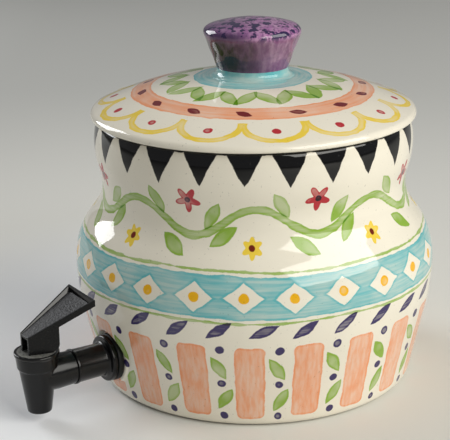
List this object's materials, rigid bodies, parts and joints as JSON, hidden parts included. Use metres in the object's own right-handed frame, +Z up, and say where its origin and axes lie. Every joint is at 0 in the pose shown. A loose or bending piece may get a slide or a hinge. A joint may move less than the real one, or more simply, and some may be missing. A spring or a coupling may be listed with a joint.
{
  "type": "ceramic drink dispenser",
  "caption": "Glazed ceramic drink dispenser: a bellied crock with a lift-off domed lid, a flared knob and a black sprung lever tap low on the wall.",
  "frame": {"origin": "centre of the crock's flat base, on the crock's axis", "axes": "+Z up along the crock's axis, the tap points along -Y, +X to the right of someone facing the tap"},
  "size_m": [0.254, 0.3172, 0.2518],
  "materials": {
    "body_glaze": "clear gloss glaze over hand-painted bands on cream",
    "lid_glaze": "clear gloss glaze over hand-painted rings on cream",
    "knob_glaze": "mottled purple gloss glaze",
    "tap_plastic": "moulded black plastic, satin, glossier on edges",
    "black_rubber": "black rubber",
    "white_plastic": "natural plastic",
    "silicone": "translucent silicone rubber",
    "spring_steel": "stainless wire"
  },
  "bodies": {
    "crock": {"crock_foot": "body_glaze", "crock_belly": "body_glaze", "crock_neck": "body_glaze", "tap_body": "tap_plastic", "tap_shank": "tap_plastic", "shank_o_ring": "black_rubber", "outer_washer": "black_rubber", "inner_washer": "black_rubber", "slip_washer": "white_plastic", "lock_nut": "tap_plastic", "bonnet": "tap_plastic", "stem_spring": "spring_steel"},
    "lid": {"lid": "lid_glaze", "lid_knob": "knob_glaze"},
    "stem": {"valve_stem": "white_plastic", "seat_cup": "silicone", "lever_pin": "spring_steel"},
    "lever": {"lever": "tap_plastic"}
  },
  "joints": [
    {"name": "lid_lift", "type": "slide", "parent": "crock", "child": "lid", "axis": [0, 0, 1], "range_m": [0, 0.12]},
    {"name": "stem_lift", "type": "slide", "parent": "crock", "child": "stem", "axis": [0, 0, 1], "range_m": [0, 0.00227], "stiffness_N_per_m": 100, "springref_m": -0.004, "deforming": ["stem_spring"]},
    {"name": "lever_tilt", "type": "hinge", "parent": "stem", "child": "lever", "pos_m": [0, -0.17497, 0.05755], "axis": [-1, 0, 0], "range_deg": [0, 26]}
  ],
  "couplings": [
    {"joint": "lever_tilt", "follows": "stem_lift", "rad_per_m": 200}
  ]
}
